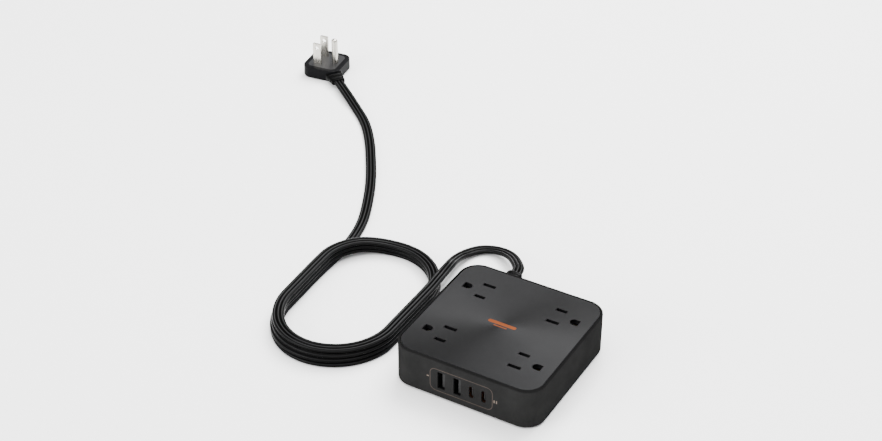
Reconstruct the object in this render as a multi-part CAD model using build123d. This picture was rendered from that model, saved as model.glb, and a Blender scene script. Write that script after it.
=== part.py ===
from build123d import *
import math
import os

# Square table-top surge protector: four NEMA 5-15 outlets on top, two USB-A and two USB-C ports in
# front, and a flat cord, wound once into a coil, with a flat angled plug.
# Millimetres. Origin: centre of the case's footprint on the surface that it stands on.
# +X right along the port side, +Y back (the ports face -Y, the cord leaves at +Y), +Z up.

# ---- case ----
CASE_SIDE = 98.5
CASE_TOP = 28.2
CASE_CORNER = 13.0
WALL = 2.0
FOOT_PROUD = 0.8
RIM_WIDTH = 1.5
RIM_ROUNDING = 0.9
SEAM = 0.25
PLATE_THICKNESS = 2.0
LEDGE_WIDTH = 2.0
LEDGE_THICKNESS = 1.5
BASE_THICKNESS = 2.0
BASE_GAP = 0.15
LOWER_EDGE_CHAMFER = 0.5

HALF = CASE_SIDE / 2
PLATE_LOW = CASE_TOP - PLATE_THICKNESS
LEDGE_LOW = PLATE_LOW - LEDGE_THICKNESS
BASE_TOP = FOOT_PROUD + BASE_THICKNESS
QUARTERS = [(1, 1), (-1, 1), (-1, -1), (1, -1)]

# ---- case screws and feet ----
SCREW_AT = 41.7
POST_RADIUS = 3.5
PILOT_RADIUS = 1.2
SHANK_RADIUS = 1.15
SCREW_LENGTH = 12.0
HEAD_RADIUS = 2.7
HEAD_HEIGHT = 1.1
HEAD_SINK = 1.2
FOOT_AT = 33.0
FOOT_RADIUS = 5.0
FOOT_THICKNESS = 1.8

# ---- outlets (NEMA 5-15R) ----
BLADE_LINE_X = 25.2
BLADE_HALF_PITCH = 6.35
GROUND_OFFSET = 11.9
OUTLET_Y = 24.6
SLOT_WIDTH = 2.5
NEUTRAL_SLOT = 8.4
LINE_SLOT = 7.2
GROUND_HOLE_WIDTH = 5.4
GROUND_HOLE_LENGTH = 6.0
GROUND_X = BLADE_LINE_X + GROUND_OFFSET

# ---- outlet cores and their contacts ----
CORE_X = (-42.0, -19.6)
CORE_HALF_DEPTH = 11.0
CORE_LOW = 12.2
CORE_ROOF = 1.6
BLADE_CHAMBER = (8.4, 5.8)
GROUND_CHAMBER = (7.0, 7.6)
BLADE_CLIP_LOW = 9.2
GROUND_CLIP_LOW = 6.2
CLIP_TOP = 23.8
CLIP_SHEET = 0.5
STRIP_THICKNESS = 0.8
STRIP_WIDTH = 2.8
LINE_STRIP_X = -23.2
NEUTRAL_STRIP_X = -27.2
GROUND_STRIP_X = -37.1
LINE_STRIP_Z = 7.6
NEUTRAL_STRIP_Z = 5.6
GROUND_STRIP_Z = 4.8
CROSS_STRAP_Z = 3.4
STRIP_OVERRUN = 3.8

# ---- USB ports ----
PORT_Z = 13.75
PORT_WALL = 0.9
USB_A_X = (-13.8, -2.9)
USB_A_OPENING = (5.12, 12.5)
USB_A_DEPTH = 14.0
USB_C_X = (6.6, 14.9)
USB_C_OPENING = (3.16, 8.94)
USB_C_DEPTH = 7.5
SHELL_SHEET = 0.3
OUTLINE_SIZE = (42.6, 16.6)
OUTLINE_CENTRE_X = -0.25
OUTLINE_CORNER = 4.0
OUTLINE_WIDTH = 0.4
INLAY_DEPTH = 0.3

# ---- main board ----
BOARD_LOW = 5.4
BOARD_THICKNESS = 1.6
BOARD_HALF_WIDTH = 18.5
BOARD_Y = (-46.0, 22.0)
BOARD_TOP = BOARD_LOW + BOARD_THICKNESS
STANDOFFS = [(-15.5, -30.0), (15.5, -30.0), (-15.5, 19.0), (15.5, 19.0)]

# ---- circuit breaker and its reset button ----
BREAKER_X = (2.0, 14.0)
BREAKER_Z = (5.0, 23.0)
BREAKER_DEPTH = 21.0
BUTTON_RADIUS = 3.5
BUTTON_CLEARANCE = 0.1
BUTTON_TRAVEL = 3.0
BUTTON_LENGTH = 11.0
FLANGE_RADIUS = 4.4
FLANGE_THICKNESS = 1.2
BREAKER_LEAD_Z = 18.0
BREAKER_CENTRE_X = sum(BREAKER_X) / 2
BREAKER_CENTRE_Z = sum(BREAKER_Z) / 2

# ---- cord: three cores side by side under one flat jacket ----
CORD_WIDTH = 7.8
CORD_THICKNESS = 2.8
CORE_PITCH = 2.6
EXIT_X = -26.8
EXIT_Z = 12.6
RELIEF_ROOT = (15.0, 7.0)
RELIEF_TIP = (11.0, 4.6)
RELIEF_LENGTH = 20.0
NECK = (12.0, 5.6)
LOOP_ROUTE = [
    (EXIT_X, HALF + RELIEF_LENGTH, EXIT_Z),
    (-26.8, 78.5, EXIT_Z),
    (-33.5, 90.0, 8.4),
    (-44.5, 97.2, 5.0),
    (-56.0, 99.0, 2.7),
    (-66.0, 94.0, 1.7),
    (-71.3, 84.0, 2.4),
    (-71.8, 71.5, 5.8),
    (-70.4, 58.0, 10.8),
    (-69.2, 43.5, 11.8),
    (-68.9, 32.5, 10.75),
    (-68.9, 25.4, 10.75),
]
LEAD_ROUTE = [
    (-146.0, 25.4, 1.5),
    (-146.0, 39.0, 1.5),
    (-146.2, 58.5, 1.5),
    (-151.2, 82.0, 1.5),
    (-161.4, 105.0, 1.5),
    (-173.2, 128.0, 1.5),
    (-187.5, 151.0, 1.5),
    (-202.5, 173.5, 1.5),
    (-218.5, 193.0, 1.5),
    (-236.0, 207.4, 1.9),
    (-252.79, 219.33, 4.65),
    (-264.64, 228.49, 4.65),
]
ARC_SHARE = 0.45

# ---- cord coil: stadium of stacked turns ----
COIL_X = -106.8
COIL_BACK_Y = 25.4
COIL_FRONT_Y = -20.0
COIL_RADIUS = 38.6
COIL_HALF_BAND = 4.6
COIL_MAIN_TOP = 9.2
TOP_TURN_RADIUS = 37.9
TOP_TURN_TOP = 12.2
LEAD_TUNNEL_HEIGHT = 3.1

# ---- plug (NEMA 5-15P), lying on its flat face with the pins up ----
PLUG_CENTRE = (-286.0, 245.0)
PLUG_TURN = 97.3
PLUG_SIDE = 30.0
PLUG_CORNER = 7.0
PLUG_THICKNESS = 9.3
PLUG_FACE_ROUNDING = 1.6
PLUG_BACK_ROUNDING = 0.6
PLUG_SHIFT = 4.7
BLADE_WIDTH = 6.35
BLADE_THICKNESS = 1.5
BLADE_REACH = 17.5
BLADE_HOLE_RADIUS = 1.6
BLADE_HOLE_FROM_TIP = 4.0
GROUND_PIN_RADIUS = 2.4
GROUND_PIN_REACH = 20.5
PIN_ROOT = 3.0
GROUND_ROOT_RADIUS = 2.0
INSERT_SIDE = 23.0
INSERT_CORNER = 4.0
INSERT_THICKNESS = 4.0
COLLAR_ROOT_AT = 16.5
COLLAR_ROOT = (14.0, 7.2)
COLLAR_TIP = (10.6, 4.8)
GRIP_RECESS = (20.0, 2.4)
GRIP_DEPTH = 0.6


def span(x_range, y_range, z_range):
    """Box between the given limits along X, Y and Z."""
    low = [min(limits) for limits in (x_range, y_range, z_range)]
    size = [abs(limits[1] - limits[0]) for limits in (x_range, y_range, z_range)]
    return Pos(*low) * Box(*size, align=(Align.MIN, Align.MIN, Align.MIN))


def post(x, y, radius, z_range):
    """Upright cylinder between two heights."""
    height = z_range[1] - z_range[0]
    return Pos(x, y, z_range[0]) * Cylinder(radius, height, align=(Align.CENTER, Align.CENTER, Align.MIN))


def slab(width, depth, corner, z_range):
    """Upright rounded square about the origin."""
    return Pos(0, 0, z_range[0]) * extrude(RectangleRounded(width, depth, corner), z_range[1] - z_range[0])


def facing_back(shape, x, y, z):
    """Turn a shape built along +Z so that it runs along +Y from (x, y, z)."""
    return Pos(x, y, z) * Rot(-90, 0, 0) * shape


def rod_back(radius, x, z, y_range):
    """Round rod along +Y between two depths."""
    rod = Cylinder(radius, y_range[1] - y_range[0], align=(Align.CENTER, Align.CENTER, Align.MIN))
    return facing_back(rod, x, y_range[0], z)


def pill_back(width, height, corner, x, z, y_range):
    """Prism with a rounded section, running along +Y between two depths."""
    return facing_back(extrude(RectangleRounded(width, height, corner), y_range[1] - y_range[0]), x, y_range[0], z)


def both_columns(shape):
    """The left outlet column's shape and its half-turn copy for the right column."""
    return shape + Rot(0, 0, 180) * shape


def group(shapes):
    """Separate solids kept together in one node."""
    solids = [solid for shape in shapes for solid in shape.solids()]
    return Compound(children=solids)


def rounded_path(points):
    """Straight runs joined by tangent arcs that are as large as both runs allow."""
    vectors = [Vector(*point) for point in points]
    radii = []
    for before, corner, after in zip(vectors, vectors[1:], vectors[2:]):
        half_turn = math.radians((corner - before).get_angle(after - corner)) / 2
        shorter = min((corner - before).length, (after - corner).length)
        radii.append(ARC_SHARE * shorter / math.tan(half_turn))
    return FilletPolyline(*points, radius=radii), radii


def flat_section():
    """Outline of the flat cord: a ribbon with rounded edges."""
    return RectangleRounded(CORD_WIDTH, CORD_THICKNESS, CORD_THICKNESS / 2 - 0.05)


def cord_tube(name, points):
    """Flat ribbon along a route, kept level across its width by a guide above it."""
    path, radii = rounded_path(points)
    heading = path % 0
    across = Vector(0, 0, 1).cross(heading).normalized()
    start = Plane(origin=path @ 0, x_dir=across, z_dir=heading)
    section = (start * flat_section()).face()
    guide = Pos(0, 0, 10) * path.wire()
    tube = Solid.sweep(section, path=path.wire(), mode=guide)
    expected = flat_section().area * path.length
    print(name, "radii", [round(radius, 1) for radius in radii])
    print(name, "length", round(path.length, 1), "volume", round(tube.volume), "expected", round(expected))
    return tube


def wire_lead(points, radius):
    """Round insulated lead along a route."""
    path, _ = rounded_path(points)
    section = Plane(origin=path @ 0, z_dir=path % 0) * Circle(radius)
    return sweep(section, path=path.wire())


# ---- case pieces ----
def outlet_openings(low, high):
    """Blade slots and ground holes of the left column, cut between two heights."""
    cuts = []
    for centre_y in (OUTLET_Y, -OUTLET_Y):
        for slot_length, side in ((NEUTRAL_SLOT, 1), (LINE_SLOT, -1)):
            slot = Pos(-BLADE_LINE_X, centre_y + side * BLADE_HALF_PITCH, low)
            cuts.append(slot * extrude(Rectangle(slot_length, SLOT_WIDTH), high - low))
        round_end = GROUND_HOLE_WIDTH / 2
        flat_end = GROUND_HOLE_LENGTH - round_end
        arch = Circle(round_end) + Pos(-flat_end / 2, 0) * Rectangle(flat_end, GROUND_HOLE_WIDTH)
        middle = GROUND_HOLE_LENGTH / 2 - round_end
        cuts.append(Pos(-GROUND_X + middle, centre_y, low) * extrude(arch, high - low))
    return group(cuts)


def badge_bars(z_range):
    """Plain bars in the middle of the top: a long one over a short one."""
    height = z_range[1] - z_range[0]
    long_bar = Pos(0, 0.9, z_range[0]) * extrude(RectangleRounded(19.0, 2.6, 1.2), height)
    short_bar = Pos(0, -1.9, z_range[0]) * extrude(RectangleRounded(9.0, 0.8, 0.39), height)
    return group([long_bar, short_bar])


def port_outline():
    """Thin rounded frame that surrounds the ports."""
    width, height = OUTLINE_SIZE
    y_range = (-HALF, -HALF + INLAY_DEPTH)
    inner_corner = OUTLINE_CORNER - OUTLINE_WIDTH
    outer = pill_back(width, height, OUTLINE_CORNER, OUTLINE_CENTRE_X, PORT_Z, y_range)
    inner_size = (width - 2 * OUTLINE_WIDTH, height - 2 * OUTLINE_WIDTH)
    return outer - pill_back(*inner_size, inner_corner, OUTLINE_CENTRE_X, PORT_Z, y_range)


def port_marks():
    """Plain marks beside the frame: one dash on the left, two upright dashes on the right."""
    y_range = (-HALF, -HALF + INLAY_DEPTH)
    edge = OUTLINE_SIZE[0] / 2
    dash = pill_back(1.6, 0.9, 0.4, OUTLINE_CENTRE_X - edge - 1.4, PORT_Z + 0.9, y_range)
    uprights = [
        pill_back(0.7, 2.2, 0.34, OUTLINE_CENTRE_X + edge + offset, PORT_Z - 0.4, y_range)
        for offset in (1.0, 2.6)
    ]
    return group([dash] + uprights)


def body_shell():
    """Walls, rim, ledge for the top plate, and the screw posts."""
    outer = slab(CASE_SIDE, CASE_SIDE, CASE_CORNER, (FOOT_PROUD, CASE_TOP))
    outer = fillet(outer.edges().group_by(Axis.Z)[-1], RIM_ROUNDING)
    outer = chamfer(outer.edges().group_by(Axis.Z)[0], LOWER_EDGE_CHAMFER)

    def hollow(inset, z_range):
        side = CASE_SIDE - 2 * inset
        return slab(side, side, CASE_CORNER - inset, z_range)

    shell = outer - hollow(WALL, (0, LEDGE_LOW))
    shell -= hollow(WALL + LEDGE_WIDTH, (0, CASE_TOP))
    shell -= hollow(RIM_WIDTH, (PLATE_LOW, CASE_TOP + 1))
    for side_x, side_y in QUARTERS:
        x, y = side_x * SCREW_AT, side_y * SCREW_AT
        shell += post(x, y, POST_RADIUS, (BASE_TOP, LEDGE_LOW + 0.5))
    for side_x, side_y in QUARTERS:
        x, y = side_x * SCREW_AT, side_y * SCREW_AT
        shell -= post(x, y, PILOT_RADIUS, (0, BASE_TOP + SCREW_LENGTH + 1))
    for x in USB_A_X:
        shell -= port_hole(x, USB_A_OPENING, 0.4)
    for x in USB_C_X:
        shell -= port_hole(x, USB_C_OPENING, USB_C_OPENING[0] / 2 - 0.02)
    shell -= port_outline()
    shell -= port_marks()
    through = (HALF - WALL - 1, HALF + 1)
    shell -= pill_back(NECK[0], NECK[1], NECK[1] / 2 - 0.05, EXIT_X, EXIT_Z, through)
    shell -= rod_back(BUTTON_RADIUS + 0.15, BREAKER_CENTRE_X, BREAKER_CENTRE_Z, through)
    dish = Cone(BUTTON_RADIUS + 0.15, BUTTON_RADIUS + 1.5, 1.0, align=(Align.CENTER, Align.CENTER, Align.MIN))
    shell -= facing_back(dish, BREAKER_CENTRE_X, HALF - 0.999, BREAKER_CENTRE_Z)
    return shell


def port_hole(x, opening, corner):
    """Opening in the front wall, with the pocket behind it that seats the socket's metal shell."""
    width, height = opening
    hole = pill_back(width, height, corner, x, PORT_Z, (-HALF - 1, -HALF + WALL + 1))
    seat = 2 * SHELL_SHEET + 0.1
    pocket_y = (-HALF + PORT_WALL, -HALF + WALL + 1)
    return hole + pill_back(width + seat, height + seat, corner + seat / 2, x, PORT_Z, pocket_y)


def top_plate():
    """Flat plate with the outlet openings, dropped into the shell's rim."""
    inset = RIM_WIDTH + SEAM
    side = CASE_SIDE - 2 * inset
    plate = slab(side, side, CASE_CORNER - inset, (PLATE_LOW, CASE_TOP))
    plate = fillet(plate.edges().group_by(Axis.Z)[-1], 0.25)
    plate -= both_columns(outlet_openings(PLATE_LOW - 1, CASE_TOP + 1))
    return plate - badge_bars((CASE_TOP - INLAY_DEPTH, CASE_TOP + 1))


def base_cover():
    """Bottom plate with screw seats, foot seats, board posts, strip ribs and the breaker's saddle."""
    side = CASE_SIDE - 2 * (WALL + BASE_GAP)
    base = slab(side, side, CASE_CORNER - WALL - BASE_GAP, (FOOT_PROUD, BASE_TOP))
    for x, y in STANDOFFS:
        base += post(x, y, 2.6, (BASE_TOP - 0.5, BOARD_LOW))
    for rib_y in (-12.0, 12.0):
        rib = span((-40.0, -21.8), (rib_y - 0.8, rib_y + 0.8), (BASE_TOP - 0.5, LINE_STRIP_Z))
        for strip_x, strip_z in ((NEUTRAL_STRIP_X, NEUTRAL_STRIP_Z), (GROUND_STRIP_X, GROUND_STRIP_Z)):
            notch_x = (strip_x - STRIP_WIDTH / 2 - 0.2, strip_x + STRIP_WIDTH / 2 + 0.2)
            rib -= span(notch_x, (rib_y - 2, rib_y + 2), (strip_z, LINE_STRIP_Z + 1))
        base += both_columns(rib)
    base += span(BREAKER_X, (30.0, 44.0), (BASE_TOP - 0.5, BREAKER_Z[0]))
    for side_x, side_y in QUARTERS:
        x, y = side_x * SCREW_AT, side_y * SCREW_AT
        base -= post(x, y, SHANK_RADIUS + 0.35, (0, BASE_TOP + 1))
        base -= post(x, y, HEAD_RADIUS + 0.3, (0, FOOT_PROUD + HEAD_SINK))
        foot_seat = (0, FOOT_THICKNESS)
        base -= post(side_x * FOOT_AT, side_y * FOOT_AT, FOOT_RADIUS + 0.05, foot_seat)
    for x, y in STANDOFFS:
        base -= post(x, y, 1.0, (BASE_TOP, BOARD_LOW + 1))
    return base


def rubber_feet():
    """Four round pads with rounded lower edges."""
    feet = []
    for side_x, side_y in QUARTERS:
        pad = post(side_x * FOOT_AT, side_y * FOOT_AT, FOOT_RADIUS, (0, FOOT_THICKNESS))
        feet.append(fillet(pad.edges().group_by(Axis.Z)[0], 0.4))
    return group(feet)


def cross_head(x, y, radius, z_range, shank_radius, shank_end):
    """Pan-head screw along Z: the head fills z_range, and the shank runs to shank_end."""
    low, high = z_range
    head = post(x, y, radius, z_range)
    upward = shank_end > high
    shank = (high, shank_end) if upward else (shank_end, low)
    screw = head + post(x, y, shank_radius, shank)
    drive_z = (low - 1, low + 0.6) if upward else (high - 0.6, high + 1)
    screw -= span((x - 1.5, x + 1.5), (y - 0.3, y + 0.3), drive_z)
    screw -= span((x - 0.3, x + 0.3), (y - 1.5, y + 1.5), drive_z)
    return screw


def case_screws():
    """Four screws that enter from below and hold the base to the posts."""
    head_z = (FOOT_PROUD + HEAD_SINK - HEAD_HEIGHT, FOOT_PROUD + HEAD_SINK)
    tip = BASE_TOP + SCREW_LENGTH
    return group(
        cross_head(sx * SCREW_AT, sy * SCREW_AT, HEAD_RADIUS, head_z, SHANK_RADIUS, tip) for sx, sy in QUARTERS
    )


# ---- outlets ----
def outlet_core(centre_y):
    """Moulded block under one left-hand outlet, with a chamber for each contact."""
    core = span(CORE_X, (centre_y - CORE_HALF_DEPTH, centre_y + CORE_HALF_DEPTH), (CORE_LOW, PLATE_LOW))
    roof = PLATE_LOW - CORE_ROOF
    for side in (-1, 1):
        chamber = Pos(-BLADE_LINE_X, centre_y + side * BLADE_HALF_PITCH, CORE_LOW - 1)
        core -= chamber * extrude(Rectangle(*BLADE_CHAMBER), roof - CORE_LOW + 1)
    core -= Pos(-GROUND_X, centre_y, CORE_LOW - 1) * extrude(Rectangle(*GROUND_CHAMBER), roof - CORE_LOW + 1)
    return core - outlet_openings(roof - 1, CASE_TOP)


def contact_clip(x, y, low, width, pinch, root):
    """U-shaped sheet clip: two leaves that close towards the pin and flare at the mouth."""
    sheet = CLIP_SHEET
    waist = CLIP_TOP - 3.8
    flare = pinch + 0.9
    right = [(root, low), (pinch + sheet, waist), (flare + sheet, CLIP_TOP), (flare, CLIP_TOP)]
    right += [(pinch, waist), (root - sheet, low + sheet)]
    left = [(-across, height) for across, height in reversed(right)]
    outline = make_face(Polyline(*right, *left, close=True))
    profile = Plane(origin=(x - width / 2, y, 0), x_dir=(0, 1, 0), z_dir=(1, 0, 0))
    return extrude(profile * outline, width)


def bus_bar(strip_x, strip_z, clip_x, clip_ys, clip_size, strap_y):
    """Strip under one column with its clips, its half-turn copy, and the strap that joins them."""
    clip_low = clip_size[0]
    half = STRIP_WIDTH / 2
    strip_top = strip_z + STRIP_THICKNESS
    strip_ends = (min(clip_ys) - STRIP_OVERRUN, max(clip_ys) + STRIP_OVERRUN)
    column = span((strip_x - half, strip_x + half), strip_ends, (strip_z, strip_top))
    for clip_y in clip_ys:
        column += contact_clip(clip_x, clip_y, *clip_size)
        leg_x = (strip_x - 1.0, strip_x + 1.0)
        column += span(leg_x, (clip_y - 1.2, clip_y + 1.2), (strip_z, clip_low + CLIP_SHEET / 2))
    strap = (strap_y - half, strap_y + half)
    reach = half - strip_x
    bar = both_columns(column) + span((-reach, reach), strap, (CROSS_STRAP_Z, CROSS_STRAP_Z + STRIP_THICKNESS))
    for side in (-1, 1):
        riser_x = (side * reach, side * (reach - STRIP_THICKNESS))
        bar += span(riser_x, strap, (CROSS_STRAP_Z, strip_z + STRIP_THICKNESS / 2))
    return bar


def line_bus():
    ys = [centre - BLADE_HALF_PITCH for centre in (OUTLET_Y, -OUTLET_Y)]
    return bus_bar(LINE_STRIP_X, LINE_STRIP_Z, -BLADE_LINE_X, ys, (BLADE_CLIP_LOW, 6.0, 0.7, 2.4), 0.0)


def neutral_bus():
    ys = [centre + BLADE_HALF_PITCH for centre in (OUTLET_Y, -OUTLET_Y)]
    return bus_bar(NEUTRAL_STRIP_X, NEUTRAL_STRIP_Z, -BLADE_LINE_X, ys, (BLADE_CLIP_LOW, 6.0, 0.7, 2.4), 5.0)


def ground_bus():
    ys = [OUTLET_Y, -OUTLET_Y]
    return bus_bar(GROUND_STRIP_X, GROUND_STRIP_Z, -GROUND_X, ys, (GROUND_CLIP_LOW, 4.6, 2.15, 3.1), -5.0)


# ---- USB ports ----
def port_shell(x, opening, corner, depth):
    """Drawn metal sleeve of one port, closed at the back, with two legs down to the board."""
    width, height = opening
    front = -HALF + PORT_WALL + 0.02
    outer_corner = corner + SHELL_SHEET
    outer_size = (width + 2 * SHELL_SHEET, height + 2 * SHELL_SHEET)
    sleeve = pill_back(*outer_size, outer_corner, x, PORT_Z, (front, front + depth))
    sleeve -= pill_back(width, height, corner, x, PORT_Z, (front - 1, front + depth - SHELL_SHEET))
    leg_y = (front + 3.0, front + 4.6)
    for side in (-1, 1):
        outer_x = x + side * outer_size[0] / 2
        sleeve += span((outer_x - side * SHELL_SHEET, outer_x), leg_y, (BOARD_TOP, PORT_Z))
    return sleeve


def usb_a_shell(x):
    return port_shell(x, USB_A_OPENING, 0.4, USB_A_DEPTH)


def usb_c_shell(x):
    return port_shell(x, USB_C_OPENING, USB_C_OPENING[0] / 2 - 0.02, USB_C_DEPTH)


def port_tongue(x, opening, corner, depth, tongue, base_depth, offset):
    """Insulator: a block that fills the sleeve's back, and the tongue in front of it."""
    width, height = opening
    gap = 0.05
    back = -HALF + PORT_WALL + 0.02 + depth - SHELL_SHEET - gap
    block_size = (width - 2 * gap, height - 2 * gap)
    block = pill_back(*block_size, corner - gap, x, PORT_Z, (back - base_depth, back))
    thickness, tall, reach = tongue
    tongue_y = (back - base_depth - reach, back - base_depth)
    blade = pill_back(thickness, tall, 0.15, x + offset, PORT_Z, tongue_y)
    return block + blade


def usb_a_tongue(x):
    return port_tongue(x, USB_A_OPENING, 0.4, USB_A_DEPTH, (1.84, 11.1, 8.4), 4.2, 0.85)


def usb_c_tongue(x):
    return port_tongue(x, USB_C_OPENING, USB_C_OPENING[0] / 2 - 0.02, USB_C_DEPTH, (0.7, 6.6, 4.4), 1.9, 0.0)


def usb_a_contacts(x):
    """Four spring strips on the tongue's open side."""
    back = -HALF + PORT_WALL + 0.02 + USB_A_DEPTH - SHELL_SHEET - 0.05 - 4.2
    face_x = x + 0.85 - 1.84 / 2
    strips = []
    for z_offset, length in ((-3.5, 7.4), (-1.0, 6.4), (1.0, 6.4), (3.5, 7.4)):
        z = PORT_Z + z_offset
        strips.append(span((face_x - 0.2, face_x), (back - length, back), (z - 0.5, z + 0.5)))
    return group(strips)


# ---- main board and its parts ----
def main_board():
    board = span((-BOARD_HALF_WIDTH, BOARD_HALF_WIDTH), BOARD_Y, (BOARD_LOW, BOARD_TOP))
    board = fillet(board.edges().filter_by(Axis.Z), 1.5)
    for x, y in STANDOFFS:
        board -= post(x, y, 1.5, (BOARD_LOW - 1, BOARD_TOP + 1))
    return board


def board_screws():
    head_z = (BOARD_TOP, BOARD_TOP + 1.4)
    return group(cross_head(x, y, 2.2, head_z, 0.95, BASE_TOP + 0.2) for x, y in STANDOFFS)


def varistor(x, y):
    """Disc varistor on edge with two short legs."""
    disc = rod_back(6.0, x, BOARD_TOP + 7.4, (y - 2.2, y + 2.2))
    disc = fillet(disc.edges(), 0.9)
    for side in (-1, 1):
        disc += post(x + side * 2.5, y, 0.4, (BOARD_TOP, BOARD_TOP + 5.0))
    return disc


def thermal_fuse():
    """Small axial fuse lying across the board in front of the varistors."""
    body = Pos(0, 5.4, BOARD_TOP + 2.2) * Rot(0, 90, 0) * Cylinder(1.9, 11.0)
    for side in (-1, 1):
        body += span((side * 5.4, side * 8.0), (5.0, 5.8), (BOARD_TOP + 1.8, BOARD_TOP + 2.6))
        body += span((side * 7.4, side * 8.0), (5.0, 5.8), (BOARD_TOP, BOARD_TOP + 2.6))
    return body


def transformer_core():
    """Two ferrite E halves as one frame with a middle leg."""
    core = span((-9.0, 9.0), (-17.0, -3.0), (BOARD_TOP + 3.4, BOARD_TOP + 13.4))
    for side in (-1, 1):
        core -= span((side * 3.0, side * 6.6), (-14.4, -5.6), (BOARD_TOP + 3, BOARD_TOP + 14))
    return core


def transformer_winding():
    """Bobbin with the taped winding around the core's middle leg."""
    winding = span((-6.4, 6.4), (-14.2, -5.8), (BOARD_TOP, BOARD_TOP + 16.0))
    winding = fillet(winding.edges().filter_by(Axis.Z), 1.0)
    winding -= span((-3.1, 3.1), (-20.0, 0.0), (BOARD_TOP + 3.3, BOARD_TOP + 13.5))
    return winding


def capacitor(x, y, radius, height):
    """Upright electrolytic can with a rolled neck and a scored end."""
    can = post(x, y, radius, (BOARD_TOP, BOARD_TOP + height))
    can = fillet(can.edges().group_by(Axis.Z)[-1], 0.6)
    neck = post(x, y, radius + 1, (BOARD_TOP + 1.2, BOARD_TOP + 1.8))
    can -= neck - post(x, y, radius - 0.35, (BOARD_TOP + 1, BOARD_TOP + 2))
    top = BOARD_TOP + height
    for size in ((radius, 0.15), (0.15, radius)):
        can -= span((x - size[0] / 2, x + size[0] / 2), (y - size[1] / 2, y + size[1] / 2), (top - 0.2, top + 1))
    return can


def line_choke():
    """Common-mode choke: an upright ring core on a small foot."""
    ring = Cylinder(5.4, 4.8) - Cylinder(2.2, 5.0)
    upright = Pos(-13.4, -7.0, BOARD_TOP + 6.4) * Rot(0, 90, 0) * ring
    return upright + span((-15.8, -11.0), (-10.0, -4.0), (BOARD_TOP, BOARD_TOP + 2.2))


# ---- circuit breaker ----
def breaker_body():
    """Thermal breaker on the base, its bore open to the back wall."""
    back = HALF - WALL - 0.1
    front = back - BREAKER_DEPTH
    body = span(BREAKER_X, (front, back), BREAKER_Z)
    body = fillet(body.edges().filter_by(Axis.Y), 0.8)
    flange_low = HALF - BUTTON_LENGTH - 0.2
    flange_high = HALF - BUTTON_LENGTH + FLANGE_THICKNESS + BUTTON_TRAVEL + 0.2
    body -= rod_back(FLANGE_RADIUS + 0.15, BREAKER_CENTRE_X, BREAKER_CENTRE_Z, (flange_low, flange_high))
    bore_radius = BUTTON_RADIUS + BUTTON_CLEARANCE
    return body - rod_back(bore_radius, BREAKER_CENTRE_X, BREAKER_CENTRE_Z, (flange_low, back + 1))


def breaker_terminals():
    """Two flat tabs: the left one takes the cord's line core, the right one meets the line strip."""
    tab_y = (29.4, 32.4)
    left = span((BREAKER_X[0] - 4.0, BREAKER_X[0]), tab_y, (BREAKER_LEAD_Z - 0.4, BREAKER_LEAD_Z + 0.4))
    strip_side = -LINE_STRIP_X - STRIP_WIDTH / 2
    strip_z = (LINE_STRIP_Z, LINE_STRIP_Z + STRIP_THICKNESS)
    return group([left, span((BREAKER_X[1], strip_side), tab_y, strip_z)])


def reset_button():
    """Round plunger, flush with the back wall while set, with the flange that keeps it in."""
    flange_y = (HALF - BUTTON_LENGTH, HALF - BUTTON_LENGTH + FLANGE_THICKNESS)
    stem = rod_back(BUTTON_RADIUS, BREAKER_CENTRE_X, BREAKER_CENTRE_Z, (flange_y[0], HALF))
    stem = fillet(stem.edges().group_by(Axis.Y)[-1], 0.5)
    return stem + rod_back(FLANGE_RADIUS, BREAKER_CENTRE_X, BREAKER_CENTRE_Z, flange_y)


# ---- inner leads ----
def inner_leads():
    """Leads from the cord to the breaker and to the neutral and ground strips."""
    start_y = HALF - WALL - 1.4
    first_bend_y = 41.5
    line_x, ground_x = EXIT_X + CORE_PITCH + 0.5, EXIT_X - CORE_PITCH - 0.5
    neutral_end_y = OUTLET_Y + BLADE_HALF_PITCH + STRIP_OVERRUN
    ground_end_y = OUTLET_Y + STRIP_OVERRUN
    neutral_z = NEUTRAL_STRIP_Z + STRIP_THICKNESS / 2
    ground_z = GROUND_STRIP_Z + STRIP_THICKNESS / 2
    leads = {
        "lead_line": [
            (line_x, start_y, EXIT_Z),
            (line_x, first_bend_y, EXIT_Z),
            (-17.0, 37.0, 16.0),
            (-9.0, 30.9, BREAKER_LEAD_Z),
            (BREAKER_X[0] - 4.0, 30.9, BREAKER_LEAD_Z),
        ],
        "lead_neutral": [
            (EXIT_X, start_y, EXIT_Z),
            (EXIT_X, first_bend_y, EXIT_Z),
            (NEUTRAL_STRIP_X, 37.6, neutral_z),
            (NEUTRAL_STRIP_X, neutral_end_y, neutral_z),
        ],
        "lead_ground": [
            (ground_x, start_y, EXIT_Z),
            (ground_x, first_bend_y + 0.8, EXIT_Z),
            (-34.6, 38.0, ground_z),
            (GROUND_STRIP_X, 33.0, ground_z),
            (GROUND_STRIP_X, ground_end_y, ground_z),
        ],
    }
    return {name: wire_lead(points, 1.2) for name, points in leads.items()}


def board_leads():
    """Two thin jumpers from the left line strip and the right neutral strip to the board."""
    radius = 0.7
    line_z = LINE_STRIP_Z + STRIP_THICKNESS / 2
    neutral_z = NEUTRAL_STRIP_Z + STRIP_THICKNESS / 2
    on_board = BOARD_TOP + radius + 0.05
    line_jumper = [
        (LINE_STRIP_X + STRIP_WIDTH / 2, 3.0, line_z),
        (-17.6, 3.0, line_z),
        (-14.6, 4.4, on_board),
        (-11.6, 4.4, on_board),
    ]
    neutral_jumper = [
        (-NEUTRAL_STRIP_X - STRIP_WIDTH / 2, 7.6, neutral_z),
        (21.2, 7.6, neutral_z),
        (18.9, 7.6, on_board + 0.6),
        (14.5, 7.6, on_board),
    ]
    return {
        "board_lead_line": wire_lead(line_jumper, radius),
        "board_lead_neutral": wire_lead(neutral_jumper, radius),
    }


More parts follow.
